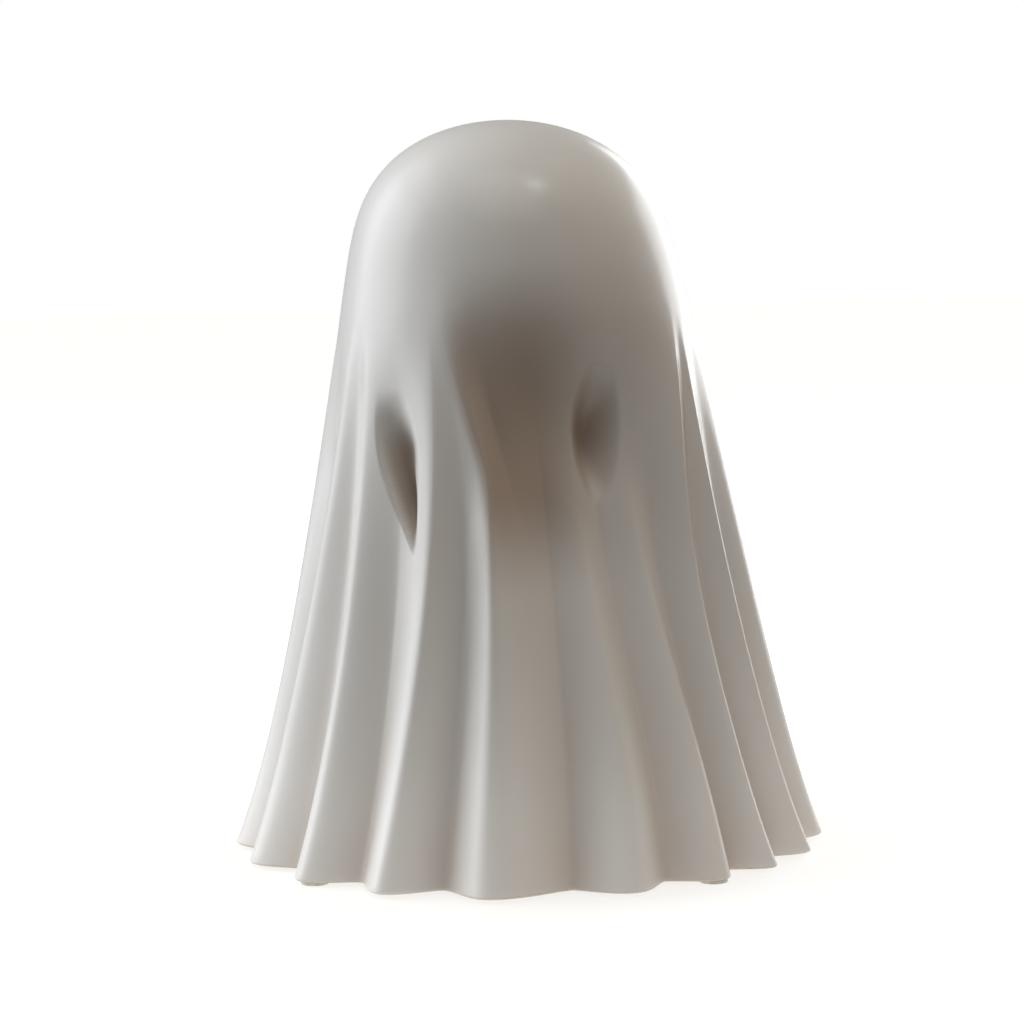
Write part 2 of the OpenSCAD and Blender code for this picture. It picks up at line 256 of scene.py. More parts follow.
def pleat_shape(z, pleat, place):
    """How far each point stands between the valley, 0, and the full height of a crest, 1."""
    s = np.clip(z / PLEAT_TOP_H, 0, 1)[:, None]
    left = place < 0
    power = np.where(left, PLEATS[pleat, 5], PLEATS[pleat, 6])
    power = 1 + (power - 1) * (STEEPNESS[0] + STEEPNESS[1] * s)
    soft = crest_roundness(s, left, pleat)
    edge = np.sqrt(1 + soft * soft)
    ridge = np.clip((edge - np.sqrt(place * place + soft * soft)) / (edge - soft), 0, 1) ** power
    wave = bump(place) ** WAVE["power"]
    starts = PLEATS[pleat, 10]
    young = ease((starts - s) / YOUNG["height"] + YOUNG["lead"] * (starts >= 1))
    return PLEATS[pleat, 4] * young * blend(ridge, wave, WAVE["most"] * (1 - s) ** WAVE["fade"])


def valley_depth(z, pleat, place, share=1):
    """How deep the skin lies under the envelope, for pleats of a share of their height. z is a column of heights."""
    return PLEAT_DEPTH * pleat_growth(z) * (1 - share * pleat_shape(z[:, 0], pleat, place))


print("share of the full depth at half the skirt:", round(float(pleat_growth(SKIRT_H / 2)), 2))

# %% [markdown]
# The face
#
# The face is pressed in, as a sheet sinks between the brow and the cheeks. Its left rim is crisp and runs down into
# the pleat beside it, and its right side fades away. It could be pressed in with a sculpting brush, but a sink that
# is worked out from azimuth and height keeps the rim where the photograph shows it, on the inside of the wall too.

# %% Face
FACE = dict(depth=14 * MM, mid=98 * MM, brow=66 * MM, chin=94 * MM, fade=(42, 72))
# Azimuth and height of the left rim at the chin and at the brow
FACE_RIM = dict(chin=(0, 0.66 * SKIRT_H), brow=(-15.5, 0.99 * SKIRT_H))
# The rim's slope is half a long fall and half a crisp drop, both in degrees. The drop is widest at the brow and wide
# below the chin, and changes between heights given as shares of the skirt. On the inside the rim lies further left.
RIM_SLOPE = dict(fall=28, crisp=0.5, drop=(5, 16), brow_at=(0.74, 1.04), chin=8, chin_at=(0.56, 0.7), inside=0.6)


def face_sink(turn, z, margin=0.0):
    """How deep the face is pressed in. The margin widens the hollow for the inside of the wall."""
    h = z / SKIRT_H
    up_rim = ease(between((FACE_RIM["chin"][1], FACE_RIM["brow"][1]), z))
    start = blend(FACE_RIM["chin"][0], FACE_RIM["brow"][0], up_rim)
    start = start - np.degrees(RIM_SLOPE["inside"] * margin / envelope_r(z))
    width = blend(*RIM_SLOPE["drop"], ease(between(RIM_SLOPE["brow_at"], h)))
    width = width + RIM_SLOPE["chin"] * (1 - ease(between(RIM_SLOPE["chin_at"], h)))
    inward = turn - start
    rim = blend(ease(inward / RIM_SLOPE["fall"]), ease(inward / width), RIM_SLOPE["crisp"])
    fade = 1 - ease(between(FACE["fade"], turn))
    above = z - FACE["mid"]
    return FACE["depth"] * rim * fade * bump(above / np.where(above > 0, FACE["brow"], FACE["chin"]))


for turn in (0.0, 10.0, 25.0, 50.0):
    print("depth of the face in mm at", turn, "degrees:", round(float(face_sink(turn, FACE["mid"])) / MM, 1))

# %% [markdown]
# The eyes
#
# The two eyes are deeper hollows with no hole, like thumb prints in soft clay. The left one is a teardrop with a crisp
# lip on its lower left, and its floor rises gently to the pleat on its right. The right one is a soft oval. They could
# be cut with a boolean, but a cut leaves a sharp edge all round, and under a glaze there is none.

# %% Eyes
# Share of the margin by which a hollow gets deeper on the inside, so that the wall behind it stays thick
EYE_INSIDE = 0.5
LEFT_EYE = dict(
    right_turn=-20, low_h=84 * MM, w=17 * MM, h=41 * MM, depth=6.5 * MM,
    # Share of its width that the eye loses on its right, and the shares of its height between which that grows
    loss=0.3, loss_at=(0.6, 1.1),
    # Powers of the lip's slope, which softens on its way up, and of the gentler floor
    lip=0.5, lip_at=(0.55, 1.05), floor=1.6,
    # Shares of its height between which the top fades in, and of its width up to which the lower tip does
    top_at=(1.1, 0.65), tip=0.7,
)
RIGHT_EYE = dict(turn=38.5, mid_h=116 * MM, half=(10 * MM, 19 * MM), depth=7 * MM, bowl=1.5)


def left_eye_place(turn, z, margin):
    """Share of the eye's height, its width there, and the share of that width from the left lip."""
    rise = (z - LEFT_EYE["low_h"] + margin) / (LEFT_EYE["h"] + 2 * margin)
    across = envelope_r(z) * np.radians(wrap(turn - LEFT_EYE["right_turn"])) - margin
    inner = np.clip(rise, 0, 1)
    wide = (LEFT_EYE["w"] + 2 * margin) * inner * (2 - inner)
    loss = LEFT_EYE["loss"] * wide * ease(between(LEFT_EYE["loss_at"], rise))
    return rise, wide, np.clip(1 + (across + loss) / np.maximum(wide - loss, 1e-9), 0, 1)


def left_eye_sink(turn, z, margin):
    """A teardrop: its lip is a parabola that leans left on its way up, and its right side follows the pleat."""
    rise, wide, u = left_eye_place(turn, z, margin)
    lip = LEFT_EYE["lip"] + ease(between(LEFT_EYE["lip_at"], rise))
    deepest = lip / (lip + LEFT_EYE["floor"])
    bowl = (u / deepest) ** lip * ((1 - u) / (1 - deepest)) ** LEFT_EYE["floor"]
    top = ease(between(LEFT_EYE["top_at"], rise))
    tip = ease(wide / (LEFT_EYE["tip"] * LEFT_EYE["w"]))
    return np.where(rise > 0, (LEFT_EYE["depth"] + EYE_INSIDE * margin) * bowl * top * tip, 0)


def right_eye_sink(turn, z, margin):
    u = envelope_r(z) * np.radians(wrap(turn - RIGHT_EYE["turn"])) / (RIGHT_EYE["half"][0] + margin)
    v = (z - RIGHT_EYE["mid_h"]) / (RIGHT_EYE["half"][1] + margin)
    return (RIGHT_EYE["depth"] + EYE_INSIDE * margin) * np.clip(1 - u * u - v * v, 0, 1) ** RIGHT_EYE["bowl"]


for name, eye in (("left", LEFT_EYE), ("right", RIGHT_EYE)):
    print("depth of the", name, "eye in mm:", round(eye["depth"] / MM, 1))

# %% [markdown]
# The two skins
#
# The inside and the outside of a cast wall are two skins of one form. The inner skin lies a wall further in, has softer
# pleats, because slip fills the tight folds of a mould, and keeps its distance where the face and the eyes are pressed
# in. A solidify modifier would be quicker, but it would pinch the wall behind the crests.

# %% Two skins
INNER_PLEAT_SHARE = 0.5


def skin_r(turn, z, pleat, place, inside):
    """Radius of the outer skin where inside is 0, and of the inner one where it is 1. z is a column of heights."""
    margin = WALL_T * inside
    sinks = face_sink(turn, z, margin) + left_eye_sink(turn, z, margin) + right_eye_sink(turn, z, margin)
    sunk = valley_depth(z, pleat, place, blend(1, INNER_PLEAT_SHARE, inside)) + sinks
    return closing(z, HEAD_H - margin) * (envelope_r(z) - margin - sunk)


print("wall in mm:", round(WALL_T / MM, 1), "share of the pleats on the inside:", INNER_PLEAT_SHARE)

# %% [markdown]
# Pooled glaze and painted shade
#
# Glaze melts in the kiln and creeps off the crests into the hollows, where it sets thicker, darker and warmer. Here
# that darker, warmer colour stands both for the pooled glaze and for painted shade where shade falls: a little of it
# in the valleys and above the foot, and most in the face and the eyes. How much lies at a point is worked out from the
# depths of the hollows, so the colour follows the form from every side. Painting the shade by hand would look right
# from the front alone.

# %% Pooled glaze and painted shade
# Pooled glaze and painted shade. most: how much gathers in the deepest spot. full: the depth from which a hollow
# counts as deep. past_rim: degrees by which the pooling and its painted shade run past the face's rim. Each pair says
# where the pooling thins out, and its loss says by how much.
VALLEY_POOL_AND_SHADE = dict(full=16.5 * MM, power=1.5)
FACE_POOL_AND_SHADE = dict(most=0.9, full=2.2 * MM, past_rim=3.5, chin=(72 * MM, 102 * MM), right=(10, 46), loss=0.85)
LEFT_EYE_POOL_AND_SHADE = dict(full=3.2 * MM, right=(0.3, 0.8), right_loss=0.85, top=(110 * MM, 125 * MM), top_loss=0.8)
RIGHT_EYE_POOL_AND_SHADE = dict(most=0.8, power=0.6)
FOOT_POOL_AND_SHADE = dict(most=0.14, height=24 * MM)


def filling(depth, full):
    """0 where there is no hollow, and nearly 1 where it is much deeper than full."""
    return 1 - np.exp(-depth / full)


def thinning(pair, x, loss):
    """1 up to the pair's first number, and the loss less from its second one on."""
    return 1 - loss * ease(between(pair, x))


# Painted shade in the sunk face, along with the glaze that gathers there
def face_pool_and_shade(turn, z):
    held_and_shaded = FACE_POOL_AND_SHADE["most"] * filling(face_sink(turn + FACE_POOL_AND_SHADE["past_rim"], z), FACE_POOL_AND_SHADE["full"])
    held_and_shaded = held_and_shaded * ease(between(FACE_POOL_AND_SHADE["chin"], z))
    return held_and_shaded * thinning(FACE_POOL_AND_SHADE["right"], turn, FACE_POOL_AND_SHADE["loss"])


# Painted shade in the left eye, along with the glaze that gathers there
def left_eye_pool_and_shade(turn, z):
    held_and_shaded = filling(left_eye_sink(turn, z, 0), LEFT_EYE_POOL_AND_SHADE["full"])
    held_and_shaded = held_and_shaded * thinning(LEFT_EYE_POOL_AND_SHADE["right"], left_eye_place(turn, z, 0)[2], LEFT_EYE_POOL_AND_SHADE["right_loss"])
    return held_and_shaded * thinning(LEFT_EYE_POOL_AND_SHADE["top"], z, LEFT_EYE_POOL_AND_SHADE["top_loss"])


def glaze_pool_and_shade(turn, z, pleat, place):
    """How much glaze gathers, together with the shade painted with it, from 0 to 1. z is a column of heights."""
    valley = np.clip(valley_depth(z, pleat, place), 0, None)
    # Valleys and the right eye: pooled glaze and painted shade
    valley_pool_and_shade = (valley / VALLEY_POOL_AND_SHADE["full"]) ** VALLEY_POOL_AND_SHADE["power"]
    right_eye_pool_and_shade = (right_eye_sink(turn, z, 0) / RIGHT_EYE["depth"]) ** RIGHT_EYE_POOL_AND_SHADE["power"]
    # Darker towards the foot: painted shade, along with the glaze that runs down
    foot_pool_and_shade = FOOT_POOL_AND_SHADE["most"] * (1 - ease(z / FOOT_POOL_AND_SHADE["height"]))
    thin_and_unshaded = (1 - valley_pool_and_shade) * (1 - face_pool_and_shade(turn, z)) * (1 - left_eye_pool_and_shade(turn, z))
    return 1 - thin_and_unshaded * (1 - RIGHT_EYE_POOL_AND_SHADE["most"] * right_eye_pool_and_shade) * (1 - foot_pool_and_shade)


print("glaze pooled in the middle of the face:", round(float(face_pool_and_shade(10.0, 120 * MM)), 2))

# %% [markdown]
# The profile of the shell
#
# One profile runs from the crown down the inside, round the foot rim and up the outside to the crown again. A potter
# would cut it out as a template. Even steps would be simpler, but its points lie closer together at the eyes and at the
# crown, where the form turns fast. The foot rim gets a small rounding, because clay never keeps a knife edge.

# %% Profile of the shell
# Rings on the inside's head and skirt, and on the outside's lower skirt, upper skirt and head
INNER_RINGS = (11, 24)
OUTER_RINGS = (44, 84, 34)
HEAD_CROWDING = 1.3
RIM_STEPS = 4
# Shares of the wall's thickness: what each edge of the foot rim takes up, and two points on the flat between them
EDGE_SHARE = 0.2
FLAT_SHARES = (0.6, 0.4)


def head_heights(count, head_h):
    angles = np.radians(90 * (np.arange(1, count) / count) ** HEAD_CROWDING)
    return SKIRT_H + head_h * np.sin(angles) ** (2 / HEAD_POWERS[0])


def foot_rim():
    """Points (height, inside) round the foot, from the inner edge over the flat to the outer one."""
    inner, outer = [], []
    for k in range(RIM_STEPS):
        a, b = math.radians(90 * (k + 1) / RIM_STEPS), math.radians(90 * k / RIM_STEPS)
        inner.append((FOOT_ROUND * (1 - math.sin(a)), 1 - EDGE_SHARE * (1 - math.cos(a))))
        outer.append((FOOT_ROUND * (1 - math.cos(b)), EDGE_SHARE * (1 - math.sin(b))))
    return inner + [(0.0, share) for share in FLAT_SHARES] + outer


def profile():
    """Points (height, inside) from the inner crown to the outer one."""
    inner = [(z, 1.0) for z in head_heights(INNER_RINGS[0], HEAD_H - WALL_T)[::-1]]
    inner += [(z, 1.0) for z in np.linspace(SKIRT_H, FOOT_ROUND, INNER_RINGS[1])]
    low = np.linspace(FOOT_ROUND, 0.5 * SKIRT_H, OUTER_RINGS[0])
    high = np.linspace(0.5 * SKIRT_H, SKIRT_H, OUTER_RINGS[1])[1:]
    outer = [(z, 0.0) for z in np.concatenate([low, high, head_heights(OUTER_RINGS[2], HEAD_H)])]
    return inner + foot_rim() + outer


print("points on the profile:", len(profile()))

# %% [markdown]
# The spun shell
#
# Spinning the profile once round its axis gives a closed bell with a real wall, as a potter's wheel would. Two lofted
# skins with a bridge at the foot would do too, but the spin closes everything in one go. Every vertex keeps the number
# of the ring that it came from, which is needed to find its place on the draped form.

# %% Spun shell
WELD = 0.001 * MM


def spin_round(bm, chain, steps):
    """Spins a chain of vertices once round the upright axis, and welds the seam."""
    edges = [bm.edges.new(pair) for pair in zip(chain, chain[1:])]
    bmesh.ops.spin(
        bm, geom=chain + edges, cent=(0, 0, 0), axis=(0, 0, 1), dvec=(0, 0, 0), angle=math.tau,
        steps=steps, use_merge=True, use_duplicate=False,
    )
    bmesh.ops.remove_doubles(bm, verts=bm.verts, dist=WELD)
    bmesh.ops.recalc_face_normals(bm, faces=bm.faces)


def spin_shell():
    """The bell, and its profile as rows of height, inside and radius."""
    bm = bmesh.new()
    ring_layer = bm.verts.layers.int.new("ring")
    for name in ("pool_and_shade", "bare", "inside"):
        bm.verts.layers.float.new(name)
    points = [(SKIRT_H + HEAD_H - WALL_T, 1.0, 0.0)]
    for z, inside in profile():
        points.append((z, inside, float(closing(z, HEAD_H - WALL_T * inside) * (envelope_r(z) - WALL_T * inside))))
    points.append((SKIRT_H + HEAD_H, 0.0, 0.0))
    chain = []
    for ring, (z, inside, r) in enumerate(points):
        vert = bm.verts.new((0, -r, z))
        vert[ring_layer] = ring
        chain.append(vert)
    spin_round(bm, chain, sum(PLEAT_COLUMNS))
    return bm, np.array(points)


shell_bm, shell_points = spin_shell()
print("vertices of the bell:", len(shell_bm.verts))

# %% [markdown]
# The draped shell
#
# Now each vertex of the bell is moved, as a sculptor would press and pull the clay, until it lies on the draped form.
# Sculpting the bell by hand would do too, but it couldn't be repeated. On its way a vertex notes how much glaze gathers
# on it, together with the shade painted with it, whether it is inside, and whether it lies below the glaze line, where
# the clay is bare. That line wavers, because a potter wipes the foot with a sponge.

# %% Draped shell
GLAZE_LINE = 1.2 * MM
# Each wave of the line: its share of the line's height, how many go round, and the degrees by which it is turned
LINE_WAVES = ((0.35, 3, 0), (0.25, 7, 40))
# How high the line runs on the outside and on the inside, as shares, and the height in which the glaze thins out
LINE_SHARES = (0.25, 2.45)
LINE_SOFT = 0.5 * MM


def column_of(co):
    """Number of the column that each vertex of the bell stands on."""
    count = sum(PLEAT_COLUMNS)
    return np.round(np.arctan2(co[:, 0], -co[:, 1]) / math.tau * count).astype(int) % count


def draped_places(z, inside, turn, pleat, place):
    """x and y of every ring and column, with the middle of the hem on the axis."""
    r = (1 - inside) * skin_r(turn, z[:, None], pleat, place, 0) + inside * skin_r(turn, z[:, None], pleat, place, 1)
    r[[0, -1]] = 0
    x = r * np.sin(np.radians(turn)) + axis_shift(z)[:, None]
    y = -r * np.cos(np.radians(turn))
    hem = z <= FOOT_ROUND * 1.01
    x -= (x[hem].max() + x[hem].min()) / 2
    y -= (y[hem].max() + y[hem].min()) / 2
    return x, y


def wiped_bare(z, inside, turn):
    """1 where the foot is wiped bare, and 0 where the glaze stays."""
    waves = sum(share * np.sin(np.radians(count * turn + shift)) for share, count, shift in LINE_WAVES)
    line = GLAZE_LINE * (1 + waves) * blend(*LINE_SHARES, inside)
    return 1 - ease((z[:, None] - line) / LINE_SOFT)


def drape(bm, points):
    ring_layer = bm.verts.layers.int["ring"]
    pool_and_shade_layer, bare_layer, inside_layer = (bm.verts.layers.float[name] for name in ("pool_and_shade", "bare", "inside"))
    ring = np.array([v[ring_layer] for v in bm.verts])
    column = column_of(np.array([v.co for v in bm.verts]))
    pleat, place = column_places()
    z, inside = points[:, 0], points[:, 1:2]
    turn = column_turns(z, pleat, place)
    x, y = draped_places(z, inside, turn, pleat, place)
    # Pooled glaze and painted shade, on the outside only
    pool_and_shade = (1 - inside) * glaze_pool_and_shade(turn, z[:, None], pleat, place)
    bare = wiped_bare(z, inside, turn)
    for vert, k, c in zip(bm.verts, ring, column):
        vert.co = (x[k, c], y[k, c], z[k] + PAD_T)
        vert[pool_and_shade_layer] = pool_and_shade[k, c]
        vert[bare_layer] = bare[k, c]
        vert[inside_layer] = inside[k, 0]


def to_object(bm, name):
    mesh = bpy.data.meshes.new(name)
    bm.to_mesh(mesh)
    bm.free()
    made = bpy.data.objects.new(name, mesh)
    bpy.context.scene.collection.objects.link(made)
    return made


drape(shell_bm, shell_points)
shell = to_object(shell_bm, "glazed_ghost")
shell.data.shade_smooth()
print("shell faces:", len(shell.data.polygons), "size in mm:", [round(v / MM, 1) for v in shell.dimensions])

# %% [markdown]
# Helpers for finishes
#
# A finish is a small net of nodes: a pattern, a remap of it, and a mix of two colours by it. It can be clicked together
# by hand, but the same few steps come back in every finish, so each of them gets a helper. Noise lies mostly between
# 0.3 and 0.7, so a remap picks the part of that range that a finish needs and stretches it.

# %% Material helpers
def new_material(name):
    material = bpy.data.materials.new(name)
    material.use_nodes = True
    nodes, links = material.node_tree.nodes, material.node_tree.links
    return material, nodes, links, nodes["Principled BSDF"]


def noise_at(nodes, links, place, scale, detail):
    pattern = nodes.new("ShaderNodeTexNoise")
    pattern.inputs["Scale"].default_value = scale
    pattern.inputs["Detail"].default_value = detail
    links.new(place.outputs["Object"], pattern.inputs["Vector"])
    return pattern.outputs["Fac"]


def remap(nodes, links, value, low, high, to_low, to_high):
    ramp = nodes.new("ShaderNodeMapRange")
    for name, number in (("From Min", low), ("From Max", high), ("To Min", to_low), ("To Max", to_high)):
        ramp.inputs[name].default_value = number
    links.new(value, ramp.inputs["Value"])
    return ramp.outputs["Result"]


def mix_colours(nodes, links, factor, first, second):
    """first and second are colours or outputs of other nodes."""
    mix = nodes.new("ShaderNodeMix")
    mix.data_type = "RGBA"
    links.new(factor, mix.inputs["Factor"])
    for name, colour in (("A", first), ("B", second)):
        if isinstance(colour, tuple):
            mix.inputs[name].default_value = colour
        else:
            links.new(colour, mix.inputs[name])
    return mix.outputs["Result"]


def kept(nodes, name):
    """A number that the mesh keeps on each vertex."""
    attribute = nodes.new("ShaderNodeAttribute")
    attribute.attribute_name = name
    return attribute.outputs["Fac"]


def reckon(nodes, links, operation, first, second):
    """first and second are numbers with a point or outputs of other nodes."""
    node = nodes.new("ShaderNodeMath")
    node.operation = operation
    for socket, value in zip(node.inputs, (first, second)):
        if isinstance(value, float):
            socket.default_value = value
        else:
            links.new(value, socket)
    return node.outputs["Value"]


def add_relief(nodes, links, shader, height, strength, distance):
    """Dents too small to model, which only catch the light."""
    relief = nodes.new("ShaderNodeBump")
    relief.inputs["Strength"].default_value = strength
    relief.inputs["Distance"].default_value = distance
    links.new(height, relief.inputs["Height"])
    links.new(relief.outputs["Normal"], shader.inputs["Normal"])


print("helpers ready")

# %% [markdown]
# The glaze
#
# A satin glaze is a thin coat of glass with tiny crystals in it: a soft, milky white that shines a little and never
# mirrors. It has one colour where it lies thinly on a crest and a darker, warmer one in the hollows, which is pooled
# glaze and painted shade at once, with a faint cloudiness between them and a thinner wash on the inside. The foot rim
# is bare, gritty fired clay: a potter wipes it clean, so that the figure doesn't stick to the kiln shelf. Each of these
# could be a material of its own, but then there would be seams, and a glaze has none. So one material mixes them by the
# numbers kept on the vertices.

# %% Glaze
GLAZE_CREST = (0.80, 0.79, 0.77, 1)
# Pooled glaze and painted shade: the darker, warmer colour of the hollows
GLAZE_POOL_AND_SHADE = (0.41, 0.32, 0.255, 1)
GLAZE_CLOUD = (0.73, 0.70, 0.655, 1)
GLAZE_WASH = (0.70, 0.67, 0.62, 1)
BARE_CLAY = (0.60, 0.53, 0.44, 1)
BARE_GRIT = (0.42, 0.35, 0.28, 1)
# Scale and detail of the glaze's cloudiness, of its faint orange peel and of the bare clay's grain
CLOUD, PEEL, GRAIN = (22, 3), (700, 2), (2600, 3)
MOST_CLOUD = 0.3
SATIN_ROUGHNESS = (0.54, 0.64)
BARE_ROUGHER = 0.3
PEEL_HEIGHT = 0.3
GLAZE_RELIEF = dict(strength=0.25, distance=0.06 * MM)
GLAZE_SHINE = {"Specular IOR Level": 0.35, "Coat Weight": 0.4, "Coat Roughness": 0.22}


def satin_glaze():
    material, nodes, links, shader = new_material("satin_glaze")
    place = nodes.new("ShaderNodeTexCoord")
    cloud, peel, grain = (noise_at(nodes, links, place, *pattern) for pattern in (CLOUD, PEEL, GRAIN))
    bare = kept(nodes, "bare")
    milky = mix_colours(nodes, links, remap(nodes, links, cloud, 0.4, 0.8, 0, MOST_CLOUD), GLAZE_CREST, GLAZE_CLOUD)
    # Painted shade: the hollows take the darker, warmer colour by the kept share, along with pooled glaze
    pooled_and_shaded = mix_colours(nodes, links, kept(nodes, "pool_and_shade"), milky, GLAZE_POOL_AND_SHADE)
    coated = mix_colours(nodes, links, kept(nodes, "inside"), pooled_and_shaded, GLAZE_WASH)
    clay = mix_colours(nodes, links, remap(nodes, links, grain, 0.5, 0.7, 0, 1), BARE_CLAY, BARE_GRIT)
    links.new(mix_colours(nodes, links, bare, coated, clay), shader.inputs["Base Color"])
    satin = remap(nodes, links, cloud, 0.3, 0.7, *SATIN_ROUGHNESS)
    matt = remap(nodes, links, bare, 0, 1, 0, BARE_ROUGHER)
    links.new(reckon(nodes, links, "ADD", satin, matt), shader.inputs["Roughness"])
    grit = reckon(nodes, links, "MULTIPLY", grain, bare)
    height = reckon(nodes, links, "ADD", grit, reckon(nodes, links, "MULTIPLY", peel, PEEL_HEIGHT))
    add_relief(nodes, links, shader, height, **GLAZE_RELIEF)
    for name, value in GLAZE_SHINE.items():
        shader.inputs[name].default_value = value
    return material


glaze = satin_glaze()
shell.data.materials.append(glaze)
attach(shell, "root")
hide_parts("ghost_shell")
print("glaze nodes:", len(glaze.node_tree.nodes))

# %% [markdown]
# The form of the felt pads
#
# Four die-cut discs keep the hard foot rim off the shelf. Each one is pressed wool with a film of glue on its top. A
# plain cylinder has a machined edge, so the disc is spun from a soft outline with a pressed shoulder, and its edge and
# underside are then roughened with small moves that stand for loose fibres.

# %% Form of a felt pad
FILM_T = 0.12 * MM
PAD_STEPS = 96
UNDERSIDE_STEPS = 9
EDGE_STEPS = 4
PAD_SOFT = 0.22 * MM
# How far inside the full radius the felt's side, its upper edge and the film's edge lie
SIDE_IN, TOP_IN, FILM_IN = 0.03 * MM, 0.06 * MM, 0.10 * MM
# Breadth of a fibre, and how far it moves the felt at the most. The edge moves in by shares of the radius.
FIBRE = dict(size=0.35 * MM, lift=0.05 * MM, shrink=0.018, pressed=0.006)


def pad_outline(radius, height):
    """Points (radius, height, fuzz) from the middle of the underside round the edge to the middle of the film."""
    points = [(radius * k / UNDERSIDE_STEPS, 0.0, 0.6) for k in range(UNDERSIDE_STEPS)]
    for k in range(EDGE_STEPS + 1):
        a = math.radians(90 * k / EDGE_STEPS)
        points.append((radius - PAD_SOFT * (1 - math.sin(a)), PAD_SOFT * (1 - math.cos(a)), 1.0))
    points += [(radius - SIDE_IN, blend(PAD_SOFT, height - FILM_T, share), 1.0) for share in (0.33, 0.66)]
    points += [(radius - TOP_IN, height - FILM_T, 0.6), (radius - FILM_IN, height - 0.9 * FILM_T, 0.1)]
    points += [(radius - FILM_IN, height, 0.0), (0.5 * radius, height, 0.0), (0.0, height, 0.0)]
    return points


def roughen(bm, outline, radius, height, middle):
    """Moves the felt by a fibre's breadth, and leaves the film flat."""
    for vert in bm.verts:
        r, z = math.hypot(vert.co.x, vert.co.y), vert.co.z
        fuzz = min(outline, key=lambda point: abs(point[0] - r) + abs(point[1] - z))[2]
        fibre = abs(noise.noise(Vector((vert.co.x, vert.co.y, z)) / FIBRE["size"] + 10 * middle / (1 * MM)))
        if z < height - 1.1 * FILM_T:
            vert.co.z += FIBRE["lift"] * fuzz * fibre
        if r > 0.9 * radius:
            shrink = 1 - FIBRE["shrink"] * fuzz * fibre - FIBRE["pressed"] * fuzz
            vert.co.x, vert.co.y = vert.co.x * shrink, vert.co.y * shrink


def spin_pad(node):
    """The disc of a pad, in the place of its CAD node."""
    low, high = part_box(node)
    middle = (low + high) / 2
    radius, height = (high.x - low.x) / 2, high.z - low.z
    outline = pad_outline(radius, height)
    bm = bmesh.new()
    spin_round(bm, [bm.verts.new((r, 0, z)) for r, z, fuzz in outline], PAD_STEPS)
    roughen(bm, outline, radius, height, middle)
    for vert in bm.verts:
        vert.co += Vector((middle.x, middle.y, low.z))
    return bm


print("points on a pad's outline:", len(pad_outline(3.75 * MM, PAD_T)))

# %% [markdown]
# Wool and glue
#
# Pressed wool is matt, with clumps that differ a little in tone, darker gaps between the fibres, and a soft sheen where
# light grazes it. The glue film is smoother, yellowish and hazy. Real hairs could be grown on the pads, but they are
# too fine to be seen on discs of this size, so a fine relief stands for them.

# %% Wool and glue
WOOL_LIGHT = (0.76, 0.74, 0.69, 1)
WOOL_SHADE = (0.62, 0.60, 0.55, 1)
WOOL_GAP = (0.50, 0.48, 0.44, 1)
GLUE_CLEAR = (0.80, 0.74, 0.60, 1)
GLUE_HAZE = (0.70, 0.64, 0.50, 1)
# Scale and detail of the wool's clumps, of its fibres and of the glue's haze
CLUMPS, FIBRES, HAZE = (900, 4), (6000, 4), (1500, 2)
WOOL_ROUGHNESS = (0.85, 1.0)
GLUE_ROUGHNESS = (0.25, 0.45)
WOOL_RELIEF = dict(strength=0.8, distance=0.15 * MM)
WOOL_SHEEN = {"Sheen Weight": 0.35, "Sheen Roughness": 0.5}


def wool_felt():
    material, nodes, links, shader = new_material("wool_felt")
    place = nodes.new("ShaderNodeTexCoord")
    clump, fibre = (noise_at(nodes, links, place, *pattern) for pattern in (CLUMPS, FIBRES))
    tone = mix_colours(nodes, links, remap(nodes, links, clump, 0.35, 0.7, 0, 1), WOOL_LIGHT, WOOL_SHADE)
    tone = mix_colours(nodes, links, remap(nodes, links, fibre, 0.55, 0.75, 0, 0.5), tone, WOOL_GAP)
    links.new(tone, shader.inputs["Base Color"])
    links.new(remap(nodes, links, fibre, 0, 1, *WOOL_ROUGHNESS), shader.inputs["Roughness"])
    add_relief(nodes, links, shader, fibre, **WOOL_RELIEF)
    for name, value in WOOL_SHEEN.items():
        shader.inputs[name].default_value = value
    return material


def glue_film():
    material, nodes, links, shader = new_material("glue_film")
    place = nodes.new("ShaderNodeTexCoord")
    haze = noise_at(nodes, links, place, *HAZE)
    links.new(mix_colours(nodes, links, haze, GLUE_CLEAR, GLUE_HAZE), shader.inputs["Base Color"])
    links.new(remap(nodes, links, haze, 0.3, 0.7, *GLUE_ROUGHNESS), shader.inputs["Roughness"])
    return material


felt, film = wool_felt(), glue_film()
print("felt nodes:", len(felt.node_tree.nodes), "film nodes:", len(film.node_tree.nodes))

# %% [markdown]
# The pads in their places
#
# All four pads come off one sheet, but no two have the same loose fibres, so each one is spun anew in the place of its
# CAD node. One disc with three copies would be lighter, and would look stamped. The film is the flat top of the disc.

# %% Felt pads
def make_pad(node):
    pad = to_object(spin_pad(node), node.replace("felt_pad", "wool_pad"))
    pad.data.shade_smooth()
    pad.data.materials.append(felt)
    pad.data.materials.append(film)
    film_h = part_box(node)[1].z - 0.95 * FILM_T
    for face in pad.data.polygons:
        face.material_index = 1 if face.center.z > film_h else 0
    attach(pad, "root")
    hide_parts(node)
    return pad


pads = [make_pad(node) for node in sorted(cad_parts) if node.startswith("felt_pad")]
print("pads:", len(pads), "faces each:", len(pads[0].data.polygons))

# %% [markdown]
# Camera
#
# The photograph was taken from a little to the right of the face and a little above it, with a long lens, and the
# camera was rolled by about one degree. A camera can be placed by eye, but here its angles are worked out from the
# outline, so that render and photograph can be laid over each other.

